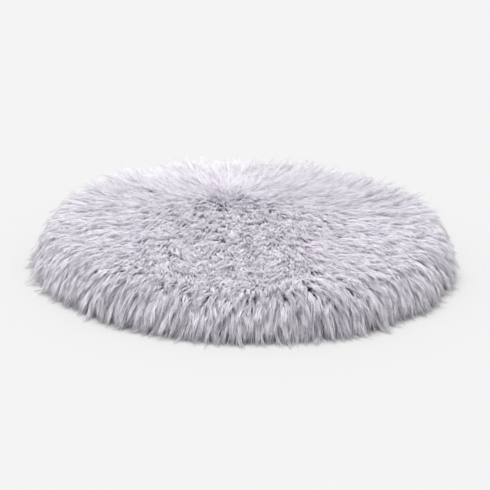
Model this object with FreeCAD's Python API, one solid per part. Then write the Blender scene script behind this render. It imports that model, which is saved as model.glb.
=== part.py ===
"""Round long-pile pet cushion bed: a fur cover with a zipped base over a filled liner.

Millimetres, +Z up, +Y to the rear. The origin is at the centre of the underside,
on the floor. The zip runs along X across the base, behind the centre.
"""
import FreeCAD, Part
import math
import os

# ---- driving dimensions -------------------------------------------------------
BED_DIAMETER = 600.0        # over the hanging pile
BED_HEIGHT = 75.0           # over the pile on the crown
PILE_WIDEST_Z = 27.0        # where the hanging pile stands out furthest
PILE_SHOULDER = 45.0        # round of the pile from the crown down to its widest line
PILE_FOOT_INNER_R = 246.0   # inner edge of the pile that lies on the floor

COVER_DIAMETER = 524.0      # the stuffed cover at its seam, under the pile
COVER_HEIGHT = 56.0
SEAM_Z = 24.0               # the seam that joins the fur panel to the base panels
COVER_SHOULDER = 26.0
BACKING_THICKNESS = 1.2     # knit that the pile is locked into
BASE_THICKNESS = 0.8        # coated base cloth
SEAM_ALLOWANCE = 10.0       # both cloths, turned down inside the seam
LAYER_GAP = 0.15            # between cloth layers that lie on each other
PILE_GAP = 0.3

LINER_DIAMETER = 514.4
LINER_BOTTOM_Z = 1.8
LINER_TOP_Z = 54.2
LINER_SHOULDER = 24.2
LINER_THICKNESS = 0.6
FILL_INSET = 1.4            # from the liner's outside to the fibre fill

COVER_THREAD_R = 0.4
LINER_THREAD_R = 0.25

ZIP_Y = 60.0                # the zip's centre line, behind the bed's centre
RECESS_DEPTH = 9.0          # the base cloth is drawn up round the zip by this much
RECESS_HALF_WIDTH = 23.0    # at the floor; the sides slope in at 45 degrees
RECESS_HALF_LENGTH = 212.0
SLOT_HALF_WIDTH = 6.8       # between the folded edges of the two base panels
SLOT_HALF_LENGTH = 194.0
TAPE_Z = 10.0
TAPE_THICKNESS = 0.7
TAPE_INNER_Y = 1.6          # from the zip's centre line to the edge of each tape
TAPE_OUTER_Y = 15.0
TAPE_HALF_LENGTH = 200.0
COIL_INNER_Y = 0.2
COIL_OUTER_Y = 3.0
COIL_BOTTOM_Z = 7.6
COIL_START_X = -189.0
SLIDER_X = 178.0            # the slider's middle with the zip closed
SLIDER_LENGTH = 13.0
STITCH_OFFSET_Y = 9.5       # the topstitching, from the zip's centre line
STITCH_R = 0.3

LABEL_SIZE = (40.0, 25.0, 0.3)
LABEL_CENTRE = (-120.0, 20.0)
LABEL_Z = 1.1

Vec = FreeCAD.Vector
AXIS = Vec(0, 0, 1)
ORIGIN = Vec(0, 0, 0)


# ---- the rounded half section that every layer of the cushion follows -----------
class Section:
    """A flat bottom, a quarter round up to the widest line, a shoulder and a crown."""

    def __init__(self, radius, bottom, middle, top, shoulder):
        self.radius, self.bottom, self.middle, self.top = radius, bottom, middle, top
        self.shoulder = shoulder
        self.shoulder_r = radius - shoulder
        rise = top - middle
        self.crown = (self.shoulder_r ** 2 + rise ** 2 - shoulder ** 2) / (2 * (rise - shoulder))
        self.tangent = math.asin(self.shoulder_r / (self.crown - shoulder))
        self.foot = middle - bottom
        self.foot_r = radius - self.foot

    def inset(self, depth):
        """The same section, moved in by depth everywhere."""
        return Section(self.radius - depth, self.bottom + depth, self.middle,
                       self.top - depth, self.shoulder - depth)

    def upper(self):
        """Edges from the axis over the crown and the shoulder to the widest line."""
        half = self.tangent / 2
        meet = self.on_crown(self.tangent)
        middle = (self.tangent + math.pi / 2) / 2
        crown = Part.Arc(Vec(0, 0, self.top), self.on_crown(half), meet)
        shoulder = Part.Arc(meet, self.on_shoulder(middle), self.on_shoulder(math.pi / 2))
        return [crown.toShape(), shoulder.toShape()]

    def on_crown(self, angle):
        return Vec(self.crown * math.sin(angle), 0,
                   self.top - self.crown + self.crown * math.cos(angle))

    def on_shoulder(self, angle):
        return Vec(self.shoulder_r + self.shoulder * math.sin(angle), 0,
                   self.middle + self.shoulder * math.cos(angle))

    def on_foot(self, angle):
        """A point on the lower round, by its angle below the widest line."""
        return Vec(self.foot_r + self.foot * math.cos(angle), 0,
                   self.middle - self.foot * math.sin(angle))

    def lower_round(self, start=0.0, end=math.pi / 2):
        return Part.Arc(self.on_foot(start), self.on_foot((start + end) / 2),
                        self.on_foot(end)).toShape()


COVER = Section(COVER_DIAMETER / 2, 0.0, SEAM_Z, COVER_HEIGHT, COVER_SHOULDER)
LINER = Section(LINER_DIAMETER / 2, LINER_BOTTOM_Z, SEAM_Z, LINER_TOP_Z, LINER_SHOULDER)
PILE = Section(BED_DIAMETER / 2, 0.0, PILE_WIDEST_Z, BED_HEIGHT, PILE_SHOULDER)


# ---- helpers ---------------------------------------------------------------------
def line(a, b):
    return Part.LineSegment(a, b).toShape()


def turned(edges):
    """The solid that a closed outline sweeps round the vertical axis."""
    wire = Part.Wire(Part.__sortEdges__(edges))
    return Part.Face(wire).revolve(ORIGIN, AXIS, 360)


def upper_shell(section, thickness):
    """A cloth of one thickness over the crown, down to the widest line."""
    inner = section.inset(thickness)
    outer_end, inner_end = section.on_shoulder(math.pi / 2), inner.on_shoulder(math.pi / 2)
    edges = section.upper() + inner.upper()
    edges += [line(Vec(0, 0, section.top), Vec(0, 0, inner.top)), line(outer_end, inner_end)]
    return turned(edges)


def lower_shell(section, thickness):
    """A cloth of one thickness from the widest line down and across the bottom."""
    inner = section.inset(thickness)
    edges = [section.lower_round(), inner.lower_round()]
    edges += [line(section.on_foot(0), inner.on_foot(0))]
    edges += [line(section.on_foot(math.pi / 2), Vec(0, 0, section.bottom))]
    edges += [line(inner.on_foot(math.pi / 2), Vec(0, 0, inner.bottom))]
    edges += [line(Vec(0, 0, section.bottom), Vec(0, 0, inner.bottom))]
    return turned(edges)


def whole(section):
    """The closed solid that a section encloses."""
    edges = section.upper() + [section.lower_round()]
    edges += [line(section.on_foot(math.pi / 2), Vec(0, 0, section.bottom))]
    edges += [line(Vec(0, 0, section.bottom), Vec(0, 0, section.top))]
    return turned(edges)


def allowance(near, thickness, lip_z):
    """A seam allowance turned down inside the cover, near millimetres in from its outside.

    A flat lip as thick as the cloth, with its underside at lip_z, joins it to its panel.
    """
    outer, inner = COVER.inset(near), COVER.inset(near + thickness)
    end = math.asin(SEAM_ALLOWANCE / outer.foot)
    edges = [outer.lower_round(0, end), inner.lower_round(0, end)]
    edges += [line(outer.on_foot(0), inner.on_foot(0)), line(outer.on_foot(end), inner.on_foot(end))]
    return turned(edges), ring(inner.radius, COVER.radius, lip_z, thickness)


def ring(inner_r, outer_r, bottom, height):
    at = Vec(0, 0, bottom)
    return Part.makeCylinder(outer_r, height, at).cut(Part.makeCylinder(inner_r, height, at))


def block(x, y, z):
    """A box from pairs of low and high x, y and z, in the zip's own frame across Y."""
    low = Vec(x[0], ZIP_Y + y[0], z[0])
    return Part.makeBox(x[1] - x[0], y[1] - y[0], z[1] - z[0], low)


def recess(grow, height, below=0.0):
    """A pad with 45 degree sides over the zip, grown sideways from the recess."""
    wires = []
    for z in (-below, height):
        half_x = RECESS_HALF_LENGTH + grow - z
        half_y = RECESS_HALF_WIDTH + grow - z
        corners = [Vec(sx * half_x, ZIP_Y + sy * half_y, z)
                   for sx, sy in ((-1, -1), (1, -1), (1, 1), (-1, 1), (-1, -1))]
        wires.append(Part.makePolygon(corners))
    return Part.makeLoft(wires, True, True)


def rounded(solid, radius, along):
    """Rounds the straight edges that run along one axis."""
    edges = [e for e in solid.Edges
             if abs(abs(e.tangentAt(e.FirstParameter).dot(along)) - 1) < 1e-6]
    return solid.makeFillet(radius, edges)


def joined(first, *others):
    return first.fuse(list(others)).removeSplitter()


# ---- the cover -------------------------------------------------------------------
def fur_pile():
    """The standing and hanging fibres, as the space that they fill."""
    skin = COVER.inset(-PILE_GAP)
    inner_angle = math.acos((PILE_FOOT_INNER_R - skin.foot_r) / skin.foot)
    inner_top = skin.on_foot(inner_angle)
    inner_foot = Vec(PILE_FOOT_INNER_R, 0, 0)
    edges = PILE.upper() + [PILE.lower_round()] + skin.upper()
    edges += [skin.lower_round(0, inner_angle)]
    edges += [line(PILE.on_foot(math.pi / 2), inner_foot), line(inner_foot, inner_top)]
    edges += [line(Vec(0, 0, PILE.top), Vec(0, 0, skin.top))]
    return turned(edges)


def fur_backing():
    """The knit under the pile, with its seam allowance turned down inside."""
    wall = upper_shell(COVER, BACKING_THICKNESS)
    band, lip = allowance(2 * (BASE_THICKNESS + LAYER_GAP), BACKING_THICKNESS, SEAM_Z)
    return joined(wall, band, lip)


def base_cloth():
    """Both base panels in one, drawn up round the zip, with the slot for it."""
    top = SEAM_Z - LAYER_GAP
    band, lip = allowance(BASE_THICKNESS + LAYER_GAP, BASE_THICKNESS, top - BASE_THICKNESS)
    wall = joined(lower_shell(COVER, BASE_THICKNESS), band, lip)
    wall = wall.cut(ring(COVER.foot_r, COVER.radius + 1, top, 1))
    slope_grow = BASE_THICKNESS * math.sqrt(2)
    raised = recess(slope_grow, RECESS_DEPTH + BASE_THICKNESS)
    pocket = raised.cut(recess(0, RECESS_DEPTH, below=1))
    cloth = joined(wall.cut(raised), pocket)
    slot = block((-SLOT_HALF_LENGTH, SLOT_HALF_LENGTH), (-SLOT_HALF_WIDTH, SLOT_HALF_WIDTH),
                 (RECESS_DEPTH - 1, RECESS_DEPTH + BASE_THICKNESS + 1))
    return cloth.cut(slot)


def base_panels():
    """The base cloth cut along the zip's line into a front and a rear panel."""
    cloth = base_cloth()
    reach = COVER.radius + 5
    front = cloth.common(block((-reach, reach), (-2 * reach, -LAYER_GAP / 2), (-1, SEAM_Z + 1)))
    rear = cloth.common(block((-reach, reach), (LAYER_GAP / 2, 2 * reach), (-1, SEAM_Z + 1)))
    return front, rear


def cover_thread():
    """The lockstitch round the bed, on the inner face of the seam allowances."""
    inset = 2 * (BASE_THICKNESS + LAYER_GAP) + BACKING_THICKNESS
    stitch = COVER.inset(inset + COVER_THREAD_R + LAYER_GAP).on_foot(math.radians(8))
    return Part.makeTorus(stitch.x, COVER_THREAD_R, Vec(0, 0, stitch.z), AXIS)


def care_label():
    length, width, thickness = LABEL_SIZE
    corner = Vec(LABEL_CENTRE[0] - length / 2, LABEL_CENTRE[1] - width / 2, LABEL_Z)
    return rounded(Part.makeBox(length, width, thickness, corner), 1.5, AXIS)


# ---- the zip ---------------------------------------------------------------------
def zip_side(side, shape):
    """A rear half of the zip as it is (side 1), or its mirror image in front (side -1)."""
    return shape if side > 0 else shape.mirror(Vec(0, ZIP_Y, 0), Vec(0, 1, 0))


def zip_tape(side):
    tape = block((-TAPE_HALF_LENGTH, TAPE_HALF_LENGTH), (TAPE_INNER_Y, TAPE_OUTER_Y),
                 (TAPE_Z, TAPE_Z + TAPE_THICKNESS))
    return zip_side(side, tape)


def zip_coil(side):
    """One row of nylon coil, as the bar that its turns fill."""
    end_x = SLIDER_X + 1.8
    coil = block((COIL_START_X, end_x), (COIL_INNER_Y, COIL_OUTER_Y), (COIL_BOTTOM_Z, TAPE_Z))
    return zip_side(side, rounded(coil, 0.9, Vec(1, 0, 0)))


def top_stops():
    """A crimped stop on each tape, just past the closed slider."""
    start = SLIDER_X + SLIDER_LENGTH / 2 + 0.8
    stop = rounded(block((start, start + 2.2), (1.8, 4.4), (8.4, TAPE_Z)), 0.5, AXIS)
    return Part.makeCompound([zip_side(1, stop), zip_side(-1, stop)])


def bottom_stop():
    """The stop that holds both rows together at the end that never opens."""
    end = COIL_START_X - 0.3
    return rounded(block((end - 3.5, end), (-3.4, 3.4), (7.3, TAPE_Z)), 0.8, AXIS)


def topstitching():
    """A row of stitches each side of the zip, through the folded edge and the tape."""
    rows = []
    for side in (-1, 1):
        start = Vec(-TAPE_HALF_LENGTH, ZIP_Y + side * STITCH_OFFSET_Y,
                    RECESS_DEPTH - STITCH_R - 0.05)
        rows.append(Part.makeCylinder(STITCH_R, 2 * TAPE_HALF_LENGTH, start, Vec(1, 0, 0)))
    return Part.makeCompound(rows)


# the slider, in heights above the floor and distances from its middle
OUTER_PLATE_Z = (5.9, 7.1)
OUTER_PLATE_HALF_WIDTH = 5.6
RAIL_Y = (4.4, 5.4)
RAIL_TOP_Z = 9.6
INNER_PLATE_Z = (11.2, 12.2)
INNER_PLATE_HALF_WIDTH = 5.2
POST_X = (2.4, 5.4)
POST_HALF_WIDTH = 1.0
BRIDGE_HALF_LENGTH = 3.2
BRIDGE_HALF_WIDTH = 1.2
BRIDGE_BOTTOM_Z = 2.9
BRIDGE_WINDOW_HALF_LENGTH = 1.2
BRIDGE_WINDOW_BOTTOM_Z = 3.85

PIVOT_Z = 4.85              # the pull tab's pivot, in the bridge
TAB_HALF_THICKNESS = 0.7
TAB_ARM_Y = (1.6, 3.0)
TAB_HALF_WIDTH = 4.0
TAB_PLATE_START = 7.0
TAB_LENGTH = 25.0


def slider_block(x, y, z):
    return block((SLIDER_X + x[0], SLIDER_X + x[1]), y, z)


def zip_slider():
    """Two plates held apart by a post, side rails, and a bridge for the pull tab."""
    half = SLIDER_LENGTH / 2
    outer = slider_block((-half, half), (-OUTER_PLATE_HALF_WIDTH, OUTER_PLATE_HALF_WIDTH),
                         OUTER_PLATE_Z)
    inner = slider_block((-half + 0.5, half - 0.5),
                         (-INNER_PLATE_HALF_WIDTH, INNER_PLATE_HALF_WIDTH), INNER_PLATE_Z)
    post = slider_block(POST_X, (-POST_HALF_WIDTH, POST_HALF_WIDTH),
                        (OUTER_PLATE_Z[1], INNER_PLATE_Z[0]))
    pieces = [rounded(inner, 1.5, AXIS), rounded(post, 0.6, AXIS), slider_bridge()]
    for side in (-1, 1):
        rail_y = sorted((side * RAIL_Y[0], side * RAIL_Y[1]))
        pieces.append(slider_block((-half + 1, half - 1), rail_y, (OUTER_PLATE_Z[1], RAIL_TOP_Z)))
    return joined(rounded(outer, 1.5, AXIS), *pieces)


def slider_bridge():
    """A low arch on the outer plate with a window that the tab's pivot sits in."""
    arch = slider_block((-BRIDGE_HALF_LENGTH, BRIDGE_HALF_LENGTH),
                        (-BRIDGE_HALF_WIDTH, BRIDGE_HALF_WIDTH),
                        (BRIDGE_BOTTOM_Z, OUTER_PLATE_Z[0]))
    window = slider_block((-BRIDGE_WINDOW_HALF_LENGTH, BRIDGE_WINDOW_HALF_LENGTH),
                          (-BRIDGE_HALF_WIDTH, BRIDGE_HALF_WIDTH),
                          (BRIDGE_WINDOW_BOTTOM_Z, OUTER_PLATE_Z[0]))
    low_edges = [e for e in arch.Edges
                 if e.BoundBox.ZMax < BRIDGE_BOTTOM_Z + 1e-6 and e.BoundBox.XLength < 1e-6]
    return arch.makeFillet(0.8, low_edges).cut(window)


def pull_tab():
    """A flat tab on two arms, lying towards the closed chain, with its pivot rod."""
    z = (PIVOT_Z - TAB_HALF_THICKNESS, PIVOT_Z + TAB_HALF_THICKNESS)
    rod = Part.makeCylinder(TAB_HALF_THICKNESS, 2 * TAB_ARM_Y[1],
                            Vec(SLIDER_X, ZIP_Y - TAB_ARM_Y[1], PIVOT_Z), Vec(0, 1, 0))
    plate = slider_block((-TAB_LENGTH, -TAB_PLATE_START), (-TAB_HALF_WIDTH, TAB_HALF_WIDTH), z)
    plate = rounded(plate, 2.5, AXIS)
    hole = slider_block((-TAB_LENGTH + 4, -TAB_LENGTH + 9), (-1.6, 1.6), (z[0] - 1, z[1] + 1))
    pieces = [plate.cut(rounded(hole, 1.5, AXIS))]
    for side in (-1, 1):
        arm_y = sorted((side * TAB_ARM_Y[0], side * TAB_ARM_Y[1]))
        pieces.append(slider_block((-TAB_PLATE_START - 1, 0), arm_y, z))
    return joined(rod, *pieces)


# ---- the liner and its fill --------------------------------------------------------
LINER_RECESS_GROW = 6.5     # the liner's recess over the zip, wider than the base's
LINER_RECESS_HEIGHT = 13.2


def liner_bottom():
    """The liner's lower cloth, lifted over the zip."""
    slope_grow = LINER_THICKNESS * math.sqrt(2)
    raised = recess(LINER_RECESS_GROW + slope_grow, LINER_RECESS_HEIGHT + LINER_THICKNESS)
    pocket = raised.cut(recess(LINER_RECESS_GROW, LINER_RECESS_HEIGHT, below=1))
    pocket = pocket.cut(Part.makeCylinder(LINER.radius, LINER.bottom + 1, Vec(0, 0, -1)))
    shell = lower_shell(LINER, LINER_THICKNESS)
    shell = shell.cut(ring(LINER.foot_r, LINER.radius + 1, SEAM_Z - LAYER_GAP, 1))
    return joined(shell.cut(raised), pocket)


def fibre_fill():
    """The loose fibre, as the space that it fills inside the liner."""
    clearance = FILL_INSET - LINER_THICKNESS
    lifted = recess(LINER_RECESS_GROW + 2 * FILL_INSET, LINER_RECESS_HEIGHT + FILL_INSET + clearance,
                    below=1)
    return whole(LINER.inset(FILL_INSET)).cut(lifted)


def liner_thread():
    inset = LINER_THICKNESS + LINER_THREAD_R + LAYER_GAP / 3
    seam = LINER.inset(inset)
    return Part.makeTorus(seam.radius, LINER_THREAD_R, Vec(0, 0, SEAM_Z), AXIS)


def nodes():
    front, rear = base_panels()
    return {
        "top_fur_pile": fur_pile(),
        "top_fur_backing": fur_backing(),
        "base_panel_front": front,
        "base_panel_rear": rear,
        "cover_seam_thread": cover_thread(),
        "care_label": care_label(),
        "zip_tape_front": zip_tape(-1),
        "zip_tape_rear": zip_tape(1),
        "zip_coil_front": zip_coil(-1),
        "zip_coil_rear": zip_coil(1),
        "zip_top_stops": top_stops(),
        "zip_bottom_stop": bottom_stop(),
        "zip_topstitching": topstitching(),
        "zip_slider_body": zip_slider(),
        "zip_pull_tab": pull_tab(),
        "liner_top_panel": upper_shell(LINER, LINER_THICKNESS),
        "liner_bottom_panel": liner_bottom(),
        "liner_seam_thread": liner_thread(),
        "fibre_fill": fibre_fill(),
    }


os.makedirs("parts", exist_ok=True)
for name, shape in nodes().items():
    shape.exportStep("parts/" + name + ".step")
    box = shape.BoundBox
    print(f"{name:20s} solids {len(shape.Solids)} valid {shape.isValid()} "
          f"volume {shape.Volume:12.1f}  x {box.XMin:8.2f} {box.XMax:8.2f}  "
          f"y {box.YMin:8.2f} {box.YMax:8.2f}  z {box.ZMin:6.2f} {box.ZMax:6.2f}")
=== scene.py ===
import functools
import math

import bmesh
import bpy
import numpy as np
from mathutils import Euler, Matrix, Vector


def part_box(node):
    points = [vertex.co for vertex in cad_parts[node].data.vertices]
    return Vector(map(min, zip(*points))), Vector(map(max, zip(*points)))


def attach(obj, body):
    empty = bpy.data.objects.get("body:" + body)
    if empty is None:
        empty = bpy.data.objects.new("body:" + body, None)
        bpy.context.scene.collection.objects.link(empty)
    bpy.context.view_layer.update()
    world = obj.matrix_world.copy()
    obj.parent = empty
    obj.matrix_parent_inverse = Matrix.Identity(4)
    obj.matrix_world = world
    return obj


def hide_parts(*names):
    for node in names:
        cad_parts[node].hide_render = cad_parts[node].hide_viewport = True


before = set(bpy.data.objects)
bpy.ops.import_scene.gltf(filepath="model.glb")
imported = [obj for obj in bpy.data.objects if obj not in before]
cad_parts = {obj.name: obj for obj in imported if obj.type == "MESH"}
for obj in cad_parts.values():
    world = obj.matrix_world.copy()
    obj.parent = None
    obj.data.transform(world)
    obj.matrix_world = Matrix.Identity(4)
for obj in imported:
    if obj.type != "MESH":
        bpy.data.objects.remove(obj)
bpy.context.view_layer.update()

# ---- the stuffed cover under the pile ---------------------------------------------
COVER_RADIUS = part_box("top_fur_backing")[1].x
COVER_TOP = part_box("top_fur_backing")[1].z
SEAM_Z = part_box("base_panel_front")[1].z
SHOULDER = 0.026            # round of the stuffed cover between its crown and its seam

# ---- the pile ---------------------------------------------------------------------
WHORL = np.array([-0.030, 0.120])   # the point that the pile is combed away from
LOCKS = 24000
LOCK_RADIUS = 0.0024        # how far a lock's strands stand from its middle line at the root
PILE_LENGTH = 0.045
FREE_RISE = 0.017           # the pile stands this far above the crown unpressed
PILE_RISE = 0.029           # and never further than this
STRAND_RADIUS = 0.00042
RIM_START = 0.212           # from here outwards the pile begins to hang
RIM_END = 0.268             # and from here it hangs fully
ROOT_ANGLE = 54             # degrees that a lock stands up from the backing at its root
TIP_ANGLE = 20              # and at its tip
FRONT_DROOP = 32            # degrees less at the tips of the pile in front of the whorl
WHORL_UPRIGHT = 0.032       # locks nearer to the whorl's point than this stand up more
WHORL_TANGLE = 0.04         # and nearer than this they point every way
STRAND_FLARE = 0.0008       # how far a strand's tip wanders from its lock
STRAY_FLARE = 0.0028        # and a stray one's
STRAND_WAVE = 0.0007
TUFT_HOLD = (0.08, 0.32)    # how far a tuft's locks close in on each other
BEND_STEPS = 16             # steps that a lock's path is worked out in
TUFTS = 7500                # neighbouring locks lean together in tufts
FUR_PIECES = 21             # sectors that each layer of the pile is cut into
FLOOR_CLEARANCE = 0.0012
LONG_STRANDS = {"per_lock": 6, "points": 5, "reach": (0.80, 1.0), "hold": (0.50, 0.92), "stray_share": 0.06}
UNDER_STRANDS = {"per_lock": 4, "points": 3, "reach": (0.40, 0.72), "hold": (0.0, 0.5), "stray_share": 0.15}
UNDER_THICKER = 1.1         # the short strands' radius over the long ones'

# ---- the cloths and the zip -------------------------------------------------------
SEAM_ALLOWANCE = 0.010
BACKING_THICKNESS = 0.0012
BASE_THICKNESS = 0.0006
CLOTH_LAYER = 0.00095       # a thickness of base cloth and the gap beside it
DOT_HEIGHT = 0.00035        # the anti-slip dots hold the base cloth this far off the floor
DOT_RADIUS = 0.0014
ZIP_Y = (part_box("zip_tape_front")[0].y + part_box("zip_tape_rear")[1].y) / 2
RECESS_X = 0.212            # half the size of the recess that the zip lies in
RECESS_Y = 0.023
RECESS_DEPTH = 0.009
SLOT_Y = 0.0068             # half the width of the slot between the base panels
SLOT_END = (0.191, 0.196)   # the slot closes between these distances from its middle
FINE_ROWS = (0.033, 0.087)  # the base cloth's grid has closer rows between these, over the zip
COARSE_ROWS = (0.032, 0.088)
STITCH_Y = 0.0095
LINER_SHOULDER = 0.0242
LINER_THICKNESS = 0.0005
LINER_RECESS_GROW = 0.0065  # how far past the zip's recess the liner is lifted
LINER_RECESS_HEIGHT = 0.0132
TAPE_THICKNESS = 0.0005
LABEL_THICKNESS = 0.00015
DOT_PITCH = 0.010
DOTS_REACH = 0.234          # no dot lies further out than this
DOT_SIDES = 8
COIL_PITCH = 0.00135
COIL_WIRE = 0.00033         # the radius of the nylon that the coil is wound from
COIL_STEPS = 12             # points on one turn of it

# ---- the filling ------------------------------------------------------------------
FILLING_VOXEL = 0.0075
FILLING_GAP = 0.0009        # the filling starts this far inside its CAD solid
MOST_SWELL = 0.0008         # the simulation may move a point of it this far
SWELL_FRAMES = 20

# ---- light and floor --------------------------------------------------------------
WORLD_STRENGTH = 0.62
SUN_TOWARDS = Vector((-0.11, -0.06, 0.95))
SUN_POWER = 3.2
SUN_SOFTNESS = math.radians(50)
FLOOR_GREY = 0.555
FLOOR_REACH = 30.0


# ---- fields and small maths -------------------------------------------------------
def unit(v):
    return v / np.maximum(np.linalg.norm(v, axis=-1, keepdims=True), 1e-9)


def smooth(x, low, high):
    t = np.clip((x - low) / (high - low), 0, 1)
    return t * t * (3 - 2 * t)


def wave_field(rng, scale, count=14):
    """A smooth random field over the bed, about -1 to 1, with features of that size."""
    across = unit(rng.normal(size=(count, 3)))
    pitch = 2 * math.pi / scale * rng.uniform(0.6, 1.4, count)
    phase = rng.uniform(0, 2 * math.pi, count)
    return lambda p: np.cos((p @ across.T) * pitch + phase).sum(-1) * math.sqrt(1 / count)


# ---- the surface that the pile grows from -----------------------------------------
def cover_profile(radius, top, middle, shoulder, steps=600):
    """Radius, height and slope along a stuffed crown, from its middle down to its seam."""
    shoulder_r = radius - shoulder
    rise = top - middle
    crown = (shoulder_r ** 2 + rise ** 2 - shoulder ** 2) / (2 * (rise - shoulder))
    tangent = math.asin(shoulder_r / (crown - shoulder))
    on_crown = np.linspace(0, tangent, steps)
    on_shoulder = np.linspace(tangent, math.pi / 2, steps)[1:]
    across = np.concatenate([crown * np.sin(on_crown), shoulder_r + shoulder * np.sin(on_shoulder)])
    height = np.concatenate([top - crown + crown * np.cos(on_crown),
                             middle + shoulder * np.cos(on_shoulder)])
    return across, height, np.concatenate([on_crown, on_shoulder])


def scatter(count, rng, jitter=0.35):
    """Evenly spread roots on the fur panel: places, normals, and the two tangents."""
    radius, height, angle = cover_profile(COVER_RADIUS, COVER_TOP, SEAM_Z, SHOULDER)
    step = np.hypot(np.diff(radius), np.diff(height))
    area = np.concatenate([[0], np.cumsum(step * (radius[1:] + radius[:-1]) / 2)])
    share = (np.arange(count) + 0.5 + rng.uniform(-jitter, jitter, count) * 40) / count
    at = np.interp(np.clip(share, 0, 1) * area[-1], area, np.arange(len(area)))
    r, z, a = (np.interp(at, np.arange(len(area)), x) for x in (radius, height, angle))
    spacing = math.sqrt(2 * math.pi * area[-1] / count)
    golden = math.pi * (3 - math.sqrt(5))
    turn = (np.arange(count) * golden
            + rng.uniform(-jitter, jitter, count) * spacing / np.maximum(r, spacing))
    out = np.stack([np.cos(turn), np.sin(turn), np.zeros(count)], 1)
    up = np.array([0.0, 0.0, 1.0])
    place = out * r[:, None] + up * z[:, None]
    normal = out * np.sin(a)[:, None] + up * np.cos(a)[:, None]
    down_slope = out * np.cos(a)[:, None] - up * np.sin(a)[:, None]
    around = np.stack([-np.sin(turn), np.cos(turn), np.zeros(count)], 1)
    return place, normal, down_slope, around


def tufts_of(place, rng):
    """Where the tufts stand, and which tuft each lock belongs to."""
    centre = scatter(TUFTS, rng)[0]
    owner = np.empty(len(place), int)
    for first in range(0, len(place), 1000):
        gap = np.linalg.norm(place[first:first + 1000, None] - centre[None], axis=2)
        owner[first:first + 1000] = gap.argmin(1)
    return centre, owner


def combed(place, down_slope, around, astray, rng):
    """The way each lock is combed: away from the whorl, with broad and fine waywardness."""
    front = smooth(WHORL[1] - place[:, 1], 0.0, 0.16)
    away = unit(unit(place[:, :2] - WHORL) + np.array([0.0, -0.5]) * front[:, None])
    near_whorl = 1 - smooth(np.linalg.norm(place[:, :2] - WHORL, axis=1), 0.0, WHORL_TANGLE)
    turn = (0.20 * wave_field(rng, 0.12)(place) + 0.26 * wave_field(rng, 0.025)(place)
            + astray + (0.13 + 1.5 * near_whorl) * rng.normal(size=len(place)))
    cos, sin = np.cos(turn), np.sin(turn)
    away = np.stack([away[:, 0] * cos - away[:, 1] * sin, away[:, 0] * sin + away[:, 1] * cos], 1)
    out = unit(place[:, :2])
    outward = (away * out).sum(1)
    sideways = away[:, 1] * out[:, 0] - away[:, 0] * out[:, 1]
    near_rim = smooth(np.linalg.norm(place[:, :2], axis=1), 0.20, 0.26)
    outward = outward + 0.5 * near_rim
    return unit(down_slope * outward[:, None] + around * sideways[:, None])


def lock_paths(rng):
    """The middle line of every lock, root to tip, and the frame at its root."""
    place, normal, down_slope, around = scatter(LOCKS, rng)
    centre, owner = tufts_of(place, rng)
    at_rim = smooth(np.linalg.norm(centre[:, :2], axis=1), 0.20, 0.25)
    own_turn, own_lean, own_length = rng.normal(size=(3, TUFTS)).clip(-2, 2)
    comb = combed(place, down_slope, around, ((0.16 + 0.20 * at_rim) * own_turn)[owner], rng)
    rim = smooth(np.linalg.norm(place[:, :2], axis=1) + 0.007 * rng.normal(size=LOCKS),
                 RIM_START, RIM_END)
    side = smooth(-place[:, 2], -0.046, -0.026)
    length = PILE_LENGTH * (1 + 0.10 * wave_field(rng, 0.07)(place)
                            + ((0.06 + 0.08 * at_rim) * own_length)[owner]
                            + 0.07 * rng.normal(size=LOCKS).clip(-2.5, 1.5))
    front = smooth(WHORL[1] - place[:, 1], -0.02, 0.10)
    length = length * (1 - 0.02 * side - (0.16 * front + 0.10 * rim) * (1 - side))
    front = front * (1 - rim)
    upright = 1 - smooth(np.linalg.norm(place[:, :2] - WHORL, axis=1), 0.0, WHORL_UPRIGHT)
    root_angle = np.radians(ROOT_ANGLE + 5 * rng.normal(size=LOCKS) + 5 * own_lean[owner] + 8 * upright)
    behind = smooth(place[:, 1] - WHORL[1], -0.02, 0.05)
    tip_angle = np.radians(TIP_ANGLE + 6 * rng.normal(size=LOCKS) + 7 * own_lean[owner]
                           + 12 * behind * (1 - rim) + 12 * rim + 10 * upright
                           - FRONT_DROOP * front * (1 - upright))
    weight = rng.uniform(0.85, 1.1, LOCKS) * (1 - 0.14 * own_lean[owner])
    path = [place + normal * -0.0005]
    step = (length / BEND_STEPS)[:, None]
    out = unit(place * np.array([1.0, 1.0, 0.0]))
    for k in range(BEND_STEPS):
        t = (k + 0.5) / BEND_STEPS
        angle = root_angle + (tip_angle - root_angle) * smooth(t, -0.1, 0.9)
        way = comb * np.cos(angle)[:, None] + normal * np.sin(angle)[:, None]
        droop = rim * weight * (0.10 + 1.55 * t ** 1.5)
        way = way - np.array([0, 0, 1.0]) * droop[:, None]
        way = unit(way - out * (0.18 * rim * smooth(t, 0.45, 1.0))[:, None])
        here = path[-1]
        low = (here[:, 2] < FLOOR_CLEARANCE + 0.003) & (way[:, 2] < 0)
        way[low] = unit(way[low] * np.array([1, 1, 0.08]) + out[low] * 0.12)
        there = here + way * step
        there[:, 2] = np.maximum(there[:, 2], FLOOR_CLEARANCE)
        path.append(there)
    return np.stack(path, 1), normal, comb, centre, owner


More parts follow.
